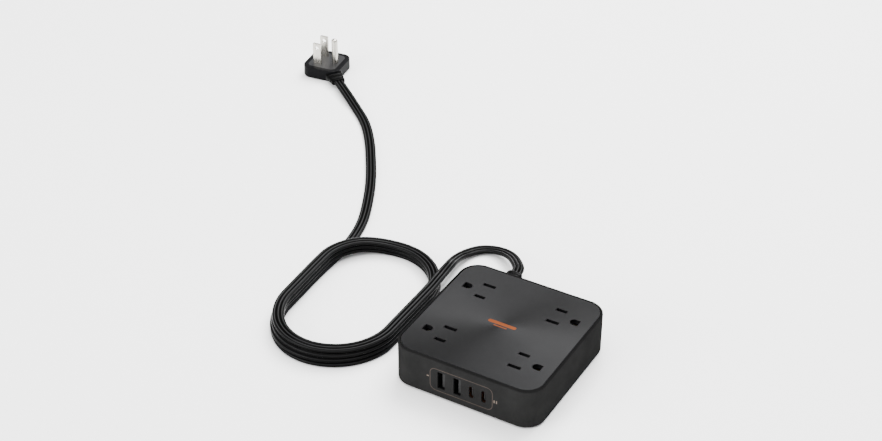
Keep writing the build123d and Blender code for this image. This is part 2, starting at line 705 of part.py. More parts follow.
# ---- cord pieces ----
def tapered_collar(root, tip, length):
    """Soft collar along +Z: a flat oval that narrows from root to tip."""
    root_face = RectangleRounded(*root, root[1] / 2 - 0.05)
    tip_face = Pos(0, 0, length) * RectangleRounded(*tip, tip[1] / 2 - 0.05)
    return loft([root_face, tip_face])


def strain_relief():
    """Collar at the back wall: outer taper, neck through the wall and a flange inside."""
    collar = facing_back(tapered_collar(RELIEF_ROOT, RELIEF_TIP, RELIEF_LENGTH), EXIT_X, HALF, EXIT_Z)
    neck_size = (NECK[0] - 0.1, NECK[1] - 0.1)
    neck_corner = neck_size[1] / 2 - 0.05
    collar += pill_back(*neck_size, neck_corner, EXIT_X, EXIT_Z, (HALF - WALL - 0.2, HALF + 0.2))
    flange_y = (HALF - WALL - 1.4, HALF - WALL)
    return collar + pill_back(RELIEF_ROOT[0], RELIEF_ROOT[1] + 0.6, 1.5, EXIT_X, EXIT_Z, flange_y)


def stadium(radius, half_band, z_range):
    """Ring in the coil's plan shape: two half circles joined by straight sides."""
    length = COIL_BACK_Y - COIL_FRONT_Y
    middle_y = (COIL_BACK_Y + COIL_FRONT_Y) / 2

    def plan(reach):
        return Rot(0, 0, 90) * SlotCenterToCenter(length, 2 * reach)

    ring = plan(radius + half_band) - plan(radius - half_band)
    return Pos(COIL_X, middle_y, z_range[0]) * extrude(ring, z_range[1] - z_range[0])


def cord_coil():
    """Outer shape of the stacked turns: three full turns, and a fourth on all but the back bend."""
    coil = stadium(COIL_RADIUS, COIL_HALF_BAND, (0, COIL_MAIN_TOP))
    top_turn = stadium(TOP_TURN_RADIUS, CORD_WIDTH / 2, (COIL_MAIN_TOP - 0.5, TOP_TURN_TOP))
    top_turn -= span((COIL_X - 60, COIL_X + 60), (COIL_BACK_Y, COIL_BACK_Y + 60), (0, 20))
    coil += top_turn
    tunnel_x = (LEAD_ROUTE[0][0] - CORD_WIDTH / 2 - 2, LEAD_ROUTE[0][0] + CORD_WIDTH / 2 + 1.5)
    return coil - span(tunnel_x, (COIL_BACK_Y, COIL_BACK_Y + 60), (-1, LEAD_TUNNEL_HEIGHT))


# ---- plug pieces, built about the plug's own centre with the pins along +Z ----
def place_plug(shape):
    return Pos(*PLUG_CENTRE, 0) * Rot(0, 0, PLUG_TURN) * shape


def plug_body():
    body = slab(PLUG_SIDE, PLUG_SIDE, PLUG_CORNER, (0, PLUG_THICKNESS))
    body = fillet(body.edges().group_by(Axis.Z)[0], PLUG_FACE_ROUNDING)
    body = fillet(body.edges().group_by(Axis.Z)[-1], PLUG_BACK_ROUNDING)
    insert_low = PLUG_THICKNESS - INSERT_THICKNESS
    body -= slab(INSERT_SIDE, INSERT_SIDE, INSERT_CORNER, (insert_low, PLUG_THICKNESS + 1))
    grip = extrude(RectangleRounded(*GRIP_RECESS, GRIP_RECESS[1] / 2 - 0.05), GRIP_DEPTH + 1)
    return place_plug(body - Pos(0, 0, -1) * grip)


def plug_insert():
    """Hard moulding that carries the three pins."""
    insert = slab(INSERT_SIDE, INSERT_SIDE, INSERT_CORNER, (PLUG_THICKNESS - INSERT_THICKNESS, PLUG_THICKNESS))
    pin_low = PLUG_THICKNESS - PIN_ROOT
    for side in (-1, 1):
        x = side * BLADE_HALF_PITCH
        blade_x = (x - BLADE_THICKNESS / 2, x + BLADE_THICKNESS / 2)
        blade_y = (PLUG_SHIFT - BLADE_WIDTH / 2, PLUG_SHIFT + BLADE_WIDTH / 2)
        insert -= span(blade_x, blade_y, (pin_low, PLUG_THICKNESS + 1))
    insert -= post(0, PLUG_SHIFT - GROUND_OFFSET, GROUND_ROOT_RADIUS, (pin_low, PLUG_THICKNESS + 1))
    return place_plug(insert)


def plug_blade(side):
    """Flat blade with a chamfered tip and a round hole."""
    x = side * BLADE_HALF_PITCH
    tip = PLUG_THICKNESS + BLADE_REACH
    blade_x = (x - BLADE_THICKNESS / 2, x + BLADE_THICKNESS / 2)
    blade_y = (PLUG_SHIFT - BLADE_WIDTH / 2, PLUG_SHIFT + BLADE_WIDTH / 2)
    blade = span(blade_x, blade_y, (PLUG_THICKNESS - PIN_ROOT, tip))
    blade = chamfer(blade.edges().group_by(Axis.Z)[-1], 0.45)
    hole = Rot(0, 90, 0) * Cylinder(BLADE_HOLE_RADIUS, 2 * BLADE_THICKNESS)
    return place_plug(blade - Pos(x, PLUG_SHIFT, tip - BLADE_HOLE_FROM_TIP) * hole)


def ground_pin():
    """Round pin with a domed tip, standing on a narrower root inside the insert."""
    y = PLUG_SHIFT - GROUND_OFFSET
    pin = post(0, y, GROUND_PIN_RADIUS, (PLUG_THICKNESS, PLUG_THICKNESS + GROUND_PIN_REACH))
    pin = fillet(pin.edges().group_by(Axis.Z)[-1], GROUND_PIN_RADIUS - 0.4)
    return place_plug(pin + post(0, y, GROUND_ROOT_RADIUS, (PLUG_THICKNESS - PIN_ROOT, PLUG_THICKNESS + 1)))


def plug_strain_relief():
    """Short collar that leaves the plug at a corner, along its diagonal."""
    plug_centre = Vector(*PLUG_CENTRE)
    tip_point = Vector(*LEAD_ROUTE[-1][:2])
    reach = (tip_point - plug_centre).length
    collar = tapered_collar(COLLAR_ROOT, COLLAR_TIP, reach - COLLAR_ROOT_AT)
    outward = (tip_point - plug_centre).normalized()
    root = plug_centre + outward * COLLAR_ROOT_AT + Vector(0, 0, PLUG_THICKNESS / 2)
    start = Plane(origin=root, x_dir=Vector(0, 0, 1).cross(outward), z_dir=outward)
    return start * collar - plug_body()


def main():
    os.makedirs("parts", exist_ok=True)
    nodes = {
        "body_shell": body_shell(),
        "top_plate": top_plate(),
        "top_badge": badge_bars((CASE_TOP - INLAY_DEPTH, CASE_TOP)),
        "base_cover": base_cover(),
        "rubber_feet": rubber_feet(),
        "case_screws": case_screws(),
        "port_outline": port_outline(),
        "port_marks": port_marks(),
        "line_bus": line_bus(),
        "neutral_bus": neutral_bus(),
        "ground_bus": ground_bus(),
        "main_board": main_board(),
        "board_screws": board_screws(),
        "thermal_fuse": thermal_fuse(),
        "transformer_core": transformer_core(),
        "transformer_winding": transformer_winding(),
        "line_choke": line_choke(),
        "breaker_body": breaker_body(),
        "breaker_terminals": breaker_terminals(),
        "reset_button": reset_button(),
        "strain_relief": strain_relief(),
        "cord_loop": cord_tube("cord_loop", LOOP_ROUTE),
        "cord_coil": cord_coil(),
        "cord_lead": cord_tube("cord_lead", LEAD_ROUTE),
        "plug_body": plug_body(),
        "plug_insert": plug_insert(),
        "plug_strain_relief": plug_strain_relief(),
        "line_blade": plug_blade(1),
        "neutral_blade": plug_blade(-1),
        "ground_pin": ground_pin(),
    }
    outlets = {"left_rear": (OUTLET_Y, 0), "left_front": (-OUTLET_Y, 0)}
    outlets.update({"right_front": (OUTLET_Y, 180), "right_rear": (-OUTLET_Y, 180)})
    for place, (centre_y, turn) in outlets.items():
        nodes["outlet_core_" + place] = Rot(0, 0, turn) * outlet_core(centre_y)
    for number, x in enumerate(USB_A_X, 1):
        nodes[f"usb_a_shell_{number}"] = usb_a_shell(x)
        nodes[f"usb_a_tongue_{number}"] = usb_a_tongue(x)
        nodes[f"usb_a_contacts_{number}"] = usb_a_contacts(x)
    for number, x in enumerate(USB_C_X, 1):
        nodes[f"usb_c_shell_{number}"] = usb_c_shell(x)
        nodes[f"usb_c_tongue_{number}"] = usb_c_tongue(x)
    for number, x in enumerate((-12.4, 0.0, 12.4), 1):
        nodes[f"varistor_{number}"] = varistor(x, 13.0)
    cans = [(13.6, -1.0, 4.0, 15.0), (13.6, -11.0, 4.0, 15.0), (-13.6, -18.0, 3.2, 11.0), (0.0, -25.0, 3.2, 11.0)]
    for number, can in enumerate(cans, 1):
        nodes[f"capacitor_{number}"] = capacitor(*can)
    nodes.update(inner_leads())
    nodes.update(board_leads())
    for name, shape in nodes.items():
        export_step(shape, f"parts/{name}.step")
    print(len(nodes), "nodes")


main()
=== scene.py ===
import math

import bpy
from mathutils import Matrix, Vector


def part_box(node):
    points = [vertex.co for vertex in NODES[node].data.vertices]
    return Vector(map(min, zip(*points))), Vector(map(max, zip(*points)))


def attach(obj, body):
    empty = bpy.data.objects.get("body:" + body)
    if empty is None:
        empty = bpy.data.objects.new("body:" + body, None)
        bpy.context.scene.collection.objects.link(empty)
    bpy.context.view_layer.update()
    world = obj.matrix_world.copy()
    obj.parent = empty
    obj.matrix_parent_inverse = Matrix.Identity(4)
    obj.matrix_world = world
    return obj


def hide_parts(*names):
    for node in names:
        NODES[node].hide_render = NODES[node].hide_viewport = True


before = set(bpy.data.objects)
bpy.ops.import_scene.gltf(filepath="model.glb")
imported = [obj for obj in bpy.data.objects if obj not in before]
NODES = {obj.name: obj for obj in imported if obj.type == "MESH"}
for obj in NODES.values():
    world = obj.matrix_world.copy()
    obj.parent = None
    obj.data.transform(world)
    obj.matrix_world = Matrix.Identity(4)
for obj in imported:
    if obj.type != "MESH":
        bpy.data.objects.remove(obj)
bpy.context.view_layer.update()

MM = 0.001
HUB = "power_hub"
UP = Vector((0, 0, 1))
SHELL_TOP_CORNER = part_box("body_shell")[1]

# The flat cord: three round cores side by side under one jacket. Its section is in millimetres and its
# length in metres.
CORD_WIDTH = 7.8
CORD_THICKNESS = 2.8
LOBE_STEPS = 8
# Points of the jacket's upper outline, counted from its left edge: the three lobes' crests and the two
# outer shoulders. A highlight is painted into the cord's colour along them.
RIB_CRESTS = (5, 12, 19)
RIB_SHOULDERS = (2, 22)
# The shoulders get this share of the painted crest highlight.
SHOULDER_HIGHLIGHT = 0.5

# Same points as the route of the cord's solids, in millimetres.
LOOP_ROUTE = [
    (-26.8, 69.25, 12.6),
    (-26.8, 74.0, 12.6),
    (-31.6, 80.9, 11.0),
    (-39.8, 90.2, 8.0),
    (-48.9, 95.8, 5.2),
    (-58.6, 97.3, 3.0),
    (-66.8, 93.5, 2.5),
    (-72.3, 83.4, 3.2),
    (-72.4, 70.8, 6.6),
    (-69.4, 57.3, 10.9),
    (-68.3, 43.5, 11.8),
    (-68.0, 32.5, 10.95),
]
LEAD_ROUTE = [
    (-146.0, 39.0, 1.5),
    (-146.2, 58.5, 1.5),
    (-151.2, 82.0, 1.5),
    (-161.4, 105.0, 1.5),
    (-173.2, 128.0, 1.5),
    (-187.5, 151.0, 1.5),
    (-202.5, 173.5, 1.5),
    (-218.5, 193.0, 1.5),
    (-236.0, 207.4, 1.9),
    (-252.79, 219.33, 4.65),
    (-264.64, 228.49, 4.65),
]

# The coil, in millimetres: stacked turns, each two straight sides joined by a half circle at the front and
# one at the back. The cord passes the front four times and the back three times, from the top down.
COIL_X = -106.8
COIL_BACK_Y = 25.4
PASS_FRONT_Y = (-18.2, -19.2, -19.8, -20.0)
PASS_RADIUS = (38.7, 38.8, 39.1, 39.15)
PASS_HEIGHT = (10.75, 7.65, 4.6, 1.5)
BACK_HEIGHT = (7.3, 4.4, 1.5)
# How far the left side stands inwards of where its radius puts it, at the back and at the front.
LEFT_BACK_SHIFT = -0.6
LEFT_FRONT_SHIFT = 1.5
LEAN_LIMIT = 1.2
# Each front half circle is off centre by up to this much, after a sine of the turn's number.
COIL_UNEVENNESS = 0.35
UNEVEN_RATE = 2.1
UNEVEN_START = 0.4
SIDE_SHARES = (0.2, 0.5, 0.8)
HALF_ARC_STEP = math.radians(15)
ARC_ANGLES = [HALF_ARC_STEP * (2 * i + 1) for i in range(6)]
# The share of its drop to the back pass that a turn has made at the second point of the back half circle.
BACK_DROP_START = 0.15

# The soft collars where the cord leaves the case and the plug, in millimetres. A root or end is a width
# and a height. The places along a collar are shares of its length.
RELIEF_SINK = 1.6
RELIEF_ROOT = (14.6, 6.8)
RELIEF_END = (10.2, 4.4)
RELIEF_GROOVES = 5
RELIEF_GROOVE_DEPTH = 0.45
PLUG_COLLAR_LENGTH = 11.2
PLUG_COLLAR_ROOT = (14.0, 7.0)
PLUG_COLLAR_END = (10.4, 4.6)
PLUG_COLLAR_GROOVES = 2
PLUG_COLLAR_GROOVE_DEPTH = 0.4
COLLAR_STEPS = 90
COLLAR_FLARE = 0.35
GROOVES_FROM = 0.16
GROOVES_TO = 0.93
END_ROUNDING_FROM = 0.97
END_ROUNDING = 0.5
OVAL_POINTS = 40
OVAL_POWER = 3.2

# Patterns that every surface shares: noise scales per metre, and lengths in metres.
MOTTLE_SCALE = 90.0
GLOSS_SCALE = 260.0
GRAIN_HEIGHT = 0.0002
FINE_GRAIN_HEIGHT = 0.0001
# Edges lighten in patches: partly wear, partly a painted highlight.
EDGE_WEAR_AND_HIGHLIGHT_SCALE = 420.0
EDGE_WEAR_AND_HIGHLIGHT_RADIUS = 0.0006
EDGE_WEAR_AND_HIGHLIGHT_TINT = 3.0
# Edge wear and the painted edge highlight start where the rounded normal turns from the face's own by
# the first cosine, and are full at the second.
EDGE_WEAR_AND_HIGHLIGHT_COSINES = (0.995, 0.9)
LEAST_ROUGHNESS = 0.05
# Painted shade: the case's colour darkens over its top edge, where the seam's shadow falls, to this share
# of its colour.
EDGE_DEPTH = 1.2 * MM
EDGE_SHADE = 0.36

# The top plate's circular sheen.
SPUN_ROUGHNESS = (0.38, 0.46)
SPUN_METALLIC = 0.85
SPUN_GLOSS = 0.01
SPUN_ANISOTROPY = 0.86
SPUN_TURN = 0.25
SPUN_MOTTLE_SCALE = 60.0
SPUN_MOTTLING = 0.06
SPUN_RING_SCALE = 2600.0
SPUN_BUMP = 0.03

BOARD_GREEN = (0.012, 0.10, 0.045)
BOARD_PAD = (0.6, 0.58, 0.52)
BOARD_ROUGHNESS = (0.25, 0.45)
BOARD_GLOSS_SCALE = 500.0
BOARD_BUMP = 0.1
BOARD_TINTS = (0.85, 1.7)
TRACK_SCALE = 150.0
TRACK_WIDTH = 0.06
PAD_SCALE = 210.0
PAD_RADIUS = 0.16

SMOOTH_BELOW = 35.0
CORD_SMOOTH_BELOW = 50.0

FLOOR_REACH = 6.0
FLOOR_WHITE = 0.93
FLOOR_ROUGHNESS = 0.7
WORLD_STRENGTH = 0.9

CAMERA_PLACE = (0.39384, -0.75651, 0.69697)
CAMERA_HEADING = 29.97
CAMERA_DIP = 34.778
CAMERA_ROLL = 0.083
CAMERA_LENS = 72.90
CAMERA_SENSOR = 36
CAMERA_NEAREST = 0.01


# ---------------------------------------------------------------- small tools
def link(obj):
    bpy.context.scene.collection.objects.link(obj)
    return obj


def mesh_object(name, verts, faces, smooth=True):
    mesh = bpy.data.meshes.new(name)
    mesh.from_pydata([tuple(v) for v in verts], [], faces)
    mesh.validate()
    for polygon in mesh.polygons:
        polygon.use_smooth = smooth
    mesh.update()
    return link(bpy.data.objects.new(name, mesh))


def loft(name, rings):
    """Skin over rings of equal length; the end rings are filled."""
    count = len(rings[0])
    verts = [point for ring in rings for point in ring]
    faces = []
    for r in range(len(rings) - 1):
        near, far = r * count, (r + 1) * count
        for i in range(count):
            j = (i + 1) % count
            faces.append((near + i, near + j, far + j, far + i))
    faces.append(tuple(reversed(range(count))))
    faces.append(tuple(range((len(rings) - 1) * count, len(rings) * count)))
    return mesh_object(name, verts, faces)


def shade(obj, angle=SMOOTH_BELOW):
    """Smooth shading with sharp edges above an angle in degrees; the points stay where they are."""
    mesh = obj.data
    mesh.shade_smooth()
    mesh.set_sharp_from_angle(angle=math.radians(angle))


# ---------------------------------------------------------------- shader nodes
def node(tree, kind, **settings):
    made = tree.nodes.new(kind)
    for key, value in settings.items():
        setattr(made, key, value)
    return made


def new_material(name, base, roughness, metallic=0.0, gloss=0.5):
    """A Principled material, its tree and its shader, with the even values set on the shader."""
    made = bpy.data.materials.new(name)
    made.use_nodes = True
    tree = made.node_tree
    shader = tree.nodes["Principled BSDF"]
    shader.inputs["Base Color"].default_value = (*base, 1)
    shader.inputs["Roughness"].default_value = roughness
    shader.inputs["Metallic"].default_value = metallic
    shader.inputs["Specular IOR Level"].default_value = gloss
    return made, tree, shader


def tint(colour, factor):
    return tuple(min(1.0, channel * factor) for channel in colour)


def place_vector(tree, stretch=(1, 1, 1)):
    """Object coordinates, stretched per axis."""
    coordinates = node(tree, "ShaderNodeTexCoord")
    mapping = node(tree, "ShaderNodeMapping")
    mapping.inputs["Scale"].default_value = stretch
    tree.links.new(coordinates.outputs["Object"], mapping.inputs["Vector"])
    return mapping.outputs["Vector"]


def noise_value(tree, vector, scale, detail=3.0):
    made = node(tree, "ShaderNodeTexNoise")
    made.inputs["Scale"].default_value = scale
    made.inputs["Detail"].default_value = detail
    tree.links.new(vector, made.inputs["Vector"])
    return made.outputs["Fac"]


def mottled(tree, source, base, spread):
    """Colour that runs from a little darker to a little lighter than the base with a noise pattern."""
    made = node(tree, "ShaderNodeValToRGB")
    dark, light = made.color_ramp.elements
    dark.position, dark.color = 0.3, (*tint(base, 1 - spread), 1)
    light.position, light.color = 0.7, (*tint(base, 1 + spread), 1)
    tree.links.new(source, made.inputs["Fac"])
    return made.outputs["Color"]


def spread_value(tree, source, low, high, source_low=0.0, source_high=1.0):
    """Maps a value between the source's ends to one between low and high."""
    made = node(tree, "ShaderNodeMapRange")
    made.inputs["From Min"].default_value = source_low
    made.inputs["From Max"].default_value = source_high
    made.inputs["To Min"].default_value = low
    made.inputs["To Max"].default_value = high
    tree.links.new(source, made.inputs["Value"])
    return made.outputs["Result"]


def mixed(tree, amount, colour, other):
    """The colour turned towards another plain colour by an amount from 0 to 1."""
    mix = node(tree, "ShaderNodeMix", data_type="RGBA")
    mix.inputs["B"].default_value = (*other, 1)
    tree.links.new(amount, mix.inputs["Factor"])
    tree.links.new(colour, mix.inputs["A"])
    return mix.outputs["Result"]


def add_bump(tree, shader, height, strength, distance):
    bump = node(tree, "ShaderNodeBump")
    bump.inputs["Strength"].default_value = strength
    bump.inputs["Distance"].default_value = distance
    tree.links.new(height, bump.inputs["Height"])
    tree.links.new(bump.outputs["Normal"], shader.inputs["Normal"])


def worn_and_highlit_edges(tree, vector, colour, base, edge_wear_and_highlight):
    """Lightens the colour in patches along the edges: partly wear, partly a painted highlight."""
    bevel = node(tree, "ShaderNodeBevel", samples=4)
    bevel.inputs["Radius"].default_value = EDGE_WEAR_AND_HIGHLIGHT_RADIUS
    geometry = node(tree, "ShaderNodeNewGeometry")
    facing = node(tree, "ShaderNodeVectorMath", operation="DOT_PRODUCT")
    tree.links.new(bevel.outputs["Normal"], facing.inputs[0])
    tree.links.new(geometry.outputs["Normal"], facing.inputs[1])
    edge = spread_value(tree, facing.outputs["Value"], 0.0, 1.0, *EDGE_WEAR_AND_HIGHLIGHT_COSINES)
    worn_and_lit = node(tree, "ShaderNodeMath", operation="MULTIPLY")
    tree.links.new(edge, worn_and_lit.inputs[0])
    tree.links.new(noise_value(tree, vector, EDGE_WEAR_AND_HIGHLIGHT_SCALE, 5.0), worn_and_lit.inputs[1])
    amount = node(tree, "ShaderNodeMath", operation="MULTIPLY")
    amount.inputs[1].default_value = edge_wear_and_highlight
    tree.links.new(worn_and_lit.outputs["Value"], amount.inputs[0])
    return mixed(tree, amount.outputs["Value"], colour, tint(base, EDGE_WEAR_AND_HIGHLIGHT_TINT))


def shaded_above(tree, vector, colour, low, high, share):
    """Paints shade into the colour between two heights, darkening it down to a share of it."""
    split = node(tree, "ShaderNodeSeparateXYZ")
    tree.links.new(vector, split.inputs["Vector"])
    shadow = node(tree, "ShaderNodeMix", data_type="RGBA", blend_type="MULTIPLY")
    shadow.inputs["Factor"].default_value = 1.0
    tree.links.new(colour, shadow.inputs["A"])
    tree.links.new(spread_value(tree, split.outputs["Z"], 1.0, share, low, high), shadow.inputs["B"])
    return shadow.outputs["Result"]


# ---------------------------------------------------------------- materials
def surface(name, base, roughness, metallic=0.0, grain=1800.0, bump=0.12, mottling=0.12,
            stretch=(1, 1, 1), rough_spread=0.06, edge_wear_and_highlight=0.0, gloss=0.5, painted_top_edge_shade=False):
    """Moulded or metal surface: mottled colour, uneven gloss, fine grain and, if asked, edges lightened by
    wear and a painted highlight, and painted shade over the top edge.
    """
    made, tree, shader = new_material(name, base, roughness, metallic, gloss)
    vector = place_vector(tree, stretch)
    colour = mottled(tree, noise_value(tree, vector, MOTTLE_SCALE, 4.0), base, mottling)
    # Lighter edges: partly wear, partly a painted highlight.
    if edge_wear_and_highlight:
        colour = worn_and_highlit_edges(tree, vector, colour, base, edge_wear_and_highlight)
    # Painted shade over the case's top edge, standing in for the seam's shadow.
    if painted_top_edge_shade:
        top = SHELL_TOP_CORNER.z
        colour = shaded_above(tree, vector, colour, top - EDGE_DEPTH, top, EDGE_SHADE)
    tree.links.new(colour, shader.inputs["Base Color"])
    smoothest = max(LEAST_ROUGHNESS, roughness - rough_spread)
    rough = spread_value(tree, noise_value(tree, vector, GLOSS_SCALE), smoothest, roughness + rough_spread)
    tree.links.new(rough, shader.inputs["Roughness"])
    add_bump(tree, shader, noise_value(tree, vector, grain, 2.0), bump, GRAIN_HEIGHT)
    return made


def spun_plastic(name, base):
    """The top plate: satin plastic with a fine circular sheen round its middle."""
    made, tree, shader = new_material(name, base, sum(SPUN_ROUGHNESS) / 2, SPUN_METALLIC, SPUN_GLOSS)
    shader.inputs["Anisotropic"].default_value = SPUN_ANISOTROPY
    shader.inputs["Anisotropic Rotation"].default_value = SPUN_TURN
    tangent = node(tree, "ShaderNodeTangent", direction_type="RADIAL", axis="Z")
    tree.links.new(tangent.outputs["Tangent"], shader.inputs["Tangent"])
    vector = place_vector(tree)
    cloud = noise_value(tree, vector, SPUN_MOTTLE_SCALE, 4.0)
    tree.links.new(mottled(tree, cloud, base, SPUN_MOTTLING), shader.inputs["Base Color"])
    flat = node(tree, "ShaderNodeVectorMath", operation="MULTIPLY")
    flat.inputs[1].default_value = (1, 1, 0)
    tree.links.new(vector, flat.inputs[0])
    radius = node(tree, "ShaderNodeVectorMath", operation="LENGTH")
    tree.links.new(flat.outputs["Vector"], radius.inputs[0])
    rings = node(tree, "ShaderNodeCombineXYZ")
    tree.links.new(radius.outputs["Value"], rings.inputs["X"])
    fine = noise_value(tree, rings.outputs["Vector"], SPUN_RING_SCALE)
    tree.links.new(spread_value(tree, fine, *SPUN_ROUGHNESS), shader.inputs["Roughness"])
    add_bump(tree, shader, fine, SPUN_BUMP, FINE_GRAIN_HEIGHT)
    return made


def print_ink(name, base, mottling=0.12):
    """Thin matt print on the case."""
    return surface(name, base, 0.5, grain=4000.0, bump=0.08, mottling=mottling, gloss=0.05)


def wire_cover(name, base, roughness):
    """Smooth insulation of the leads inside the case."""
    return surface(name, base, roughness, grain=1500.0, bump=0.08)


def drawn_metal(name, base, roughness, grain, bump, stretch):
    """Bare metal with its grain drawn out along one axis."""
    return surface(name, base, roughness, 1.0, grain=grain, bump=bump, stretch=stretch)


def jacket(name, base, roughness):
    """Soft cord jacket: slightly uneven gloss and a fine drag grain."""
    return surface(name, base, roughness, grain=2400.0, bump=0.03, mottling=0.18, rough_spread=0.04,
                   gloss=0.026)


def jacket_with_painted_rib_highlights(name, base, rib_highlight_colour, roughness):
    """Cord jacket with a painted highlight: lighter where the mesh's rib highlight value rises to 1."""
    made = jacket(name, base, roughness)
    tree = made.node_tree
    target = tree.nodes["Principled BSDF"].inputs["Base Color"]
    plain = target.links[0].from_socket
    rib_highlight = node(tree, "ShaderNodeAttribute", attribute_name="rib_highlight")
    tree.links.new(mixed(tree, rib_highlight.outputs["Fac"], plain, rib_highlight_colour), target)
    return made


def board_material():
    """Circuit board: solder resist over copper tracks, with a sprinkle of pads."""
    made, tree, shader = new_material("board_green", BOARD_GREEN, sum(BOARD_ROUGHNESS) / 2)
    vector = place_vector(tree)
    tracks = node(tree, "ShaderNodeTexBrick")
    tracks.inputs["Scale"].default_value = TRACK_SCALE
    tracks.inputs["Mortar Size"].default_value = TRACK_WIDTH
    tracks.inputs["Color1"].default_value = (*BOARD_GREEN, 1)
    tracks.inputs["Color2"].default_value = (*tint(BOARD_GREEN, BOARD_TINTS[0]), 1)
    tracks.inputs["Mortar"].default_value = (*tint(BOARD_GREEN, BOARD_TINTS[1]), 1)
    tree.links.new(vector, tracks.inputs["Vector"])
    pads = node(tree, "ShaderNodeTexVoronoi")
    pads.inputs["Scale"].default_value = PAD_SCALE
    tree.links.new(vector, pads.inputs["Vector"])
    mask = node(tree, "ShaderNodeMath", operation="LESS_THAN")
    mask.inputs[1].default_value = PAD_RADIUS
    tree.links.new(pads.outputs["Distance"], mask.inputs[0])
    colour = mixed(tree, mask.outputs["Value"], tracks.outputs["Color"], BOARD_PAD)
    tree.links.new(colour, shader.inputs["Base Color"])
    rough = spread_value(tree, noise_value(tree, vector, BOARD_GLOSS_SCALE), *BOARD_ROUGHNESS)
    tree.links.new(rough, shader.inputs["Roughness"])
    add_bump(tree, shader, tracks.outputs["Fac"], BOARD_BUMP, FINE_GRAIN_HEIGHT)
    return made


MATERIALS = {
    # The case gets painted shade over its top edge, and its lighter edges are partly wear, partly a
    # painted highlight.
    "case": surface("case_satin_black", (0.0148, 0.0148, 0.0147), 0.5, grain=2600.0, bump=0.08, edge_wear_and_highlight=0.25,
                    gloss=0.0, painted_top_edge_shade=True),
    "top": spun_plastic("top_spun_satin", (0.0081, 0.0081, 0.0084)),
    "base": surface("base_black", (0.022, 0.022, 0.024), 0.6, grain=1400.0, bump=0.3),
    "rubber": surface("foot_rubber", (0.018, 0.018, 0.018), 0.75, grain=2200.0, bump=0.3),
    "screw": surface("zinc_screw", (0.42, 0.42, 0.44), 0.32, 1.0, grain=3000.0, bump=0.1, edge_wear_and_highlight=0.3),
    "copper": print_ink("copper_print", (0.108, 0.024, 0.003), mottling=0.1),
    "dull_copper": print_ink("dull_copper_print", (0.052, 0.040, 0.034)),
    "mark_copper": print_ink("mark_copper_print", (0.12, 0.095, 0.078)),
    # The port shells are darkened to near black: painted shade for the inside of the openings.
    "port": drawn_metal("port_nickel_painted_shade", (0.014, 0.014, 0.015), 0.55, 900.0, 0.06, (1, 0.1, 1)),
    "port_c": drawn_metal("port_copper", (0.12, 0.055, 0.035), 0.5, 900.0, 0.06, (1, 0.1, 1)),
    "insulator": surface("port_insulator", (0.016, 0.016, 0.016), 0.5, grain=3000.0, bump=0.1, gloss=0.15),
    "gold": surface("thin_gold", (0.75, 0.52, 0.2), 0.25, 1.0, grain=3000.0, bump=0.05),
    "board": board_material(),
    "varistor": surface("dipped_epoxy", (0.03, 0.10, 0.42), 0.28, grain=900.0, bump=0.2),
    "ceramic": surface("ceramic", (0.68, 0.64, 0.52), 0.4, grain=2200.0),
    "ferrite": surface("ferrite", (0.035, 0.035, 0.038), 0.62, grain=1500.0, bump=0.35),
    "tape": surface("winding_tape", (0.68, 0.48, 0.05), 0.3, grain=700.0, bump=0.25, stretch=(1, 1, 9)),
    "sleeve": surface("shrink_sleeve", (0.012, 0.02, 0.06), 0.3, grain=1200.0, bump=0.1),
    "core": surface("outlet_core", (0.010, 0.010, 0.011), 0.7, bump=0.2, gloss=0.05),
    # The brass is darkened well below bare brass: painted shade for the contacts deep in the outlet holes.
    "brass": drawn_metal("stamped_brass_painted_shade", (0.16, 0.11, 0.045), 0.42, 1100.0, 0.12, (1, 1, 0.15)),
    "breaker": surface("breaker_black", (0.02, 0.02, 0.02), 0.5, grain=1500.0, bump=0.2),
    "button": surface("button_satin", (0.030, 0.030, 0.031), 0.45, grain=2600.0, bump=0.1, edge_wear_and_highlight=0.3,
                      gloss=0.08),
    "line": wire_cover("line_wire", (0.012, 0.012, 0.012), 0.35),
    "neutral": wire_cover("neutral_wire", (0.62, 0.62, 0.6), 0.4),
    "ground": wire_cover("ground_wire", (0.02, 0.22, 0.06), 0.38),
    # The second colour is a painted highlight along the cord's crests.
    "rib_highlighted": jacket_with_painted_rib_highlights("cord_jacket_painted_rib_highlights", (0.0014, 0.0014, 0.0014), (0.022, 0.022, 0.0225), 0.22),
    "jacket": jacket("cord_jacket", (0.0014, 0.0014, 0.0014), 0.2),
    "plug": jacket("plug_jacket", (0.0035, 0.0035, 0.004), 0.4),
    "plug_core": surface("plug_core", (0.010, 0.010, 0.011), 0.42, grain=2600.0, gloss=0.2),
    "pin": drawn_metal("nickel_pin", (0.46, 0.44, 0.40), 0.26, 700.0, 0.06, (6, 6, 0.4)),
}

NODE_MATERIALS = {
    "body_shell": "case",
    "top_plate": "top",
    "base_cover": "base",
    "rubber_feet": "rubber",
    "case_screws": "screw",
    "board_screws": "screw",
    "top_badge": "copper",
    "port_outline": "dull_copper",
    "port_marks": "mark_copper",
    "main_board": "board",
    "thermal_fuse": "ceramic",
    "transformer_core": "ferrite",
    "line_choke": "ferrite",
    "transformer_winding": "tape",
    "line_bus": "brass",
    "neutral_bus": "brass",
    "ground_bus": "brass",
    "breaker_terminals": "brass",
    "breaker_body": "breaker",
    "reset_button": "button",
    "lead_line": "line",
    "board_lead_line": "line",
    "lead_neutral": "neutral",
    "board_lead_neutral": "neutral",
    "lead_ground": "ground",
    "plug_body": "plug",
    "plug_insert": "plug_core",
    "line_blade": "pin",
    "neutral_blade": "pin",
    "ground_pin": "pin",
}
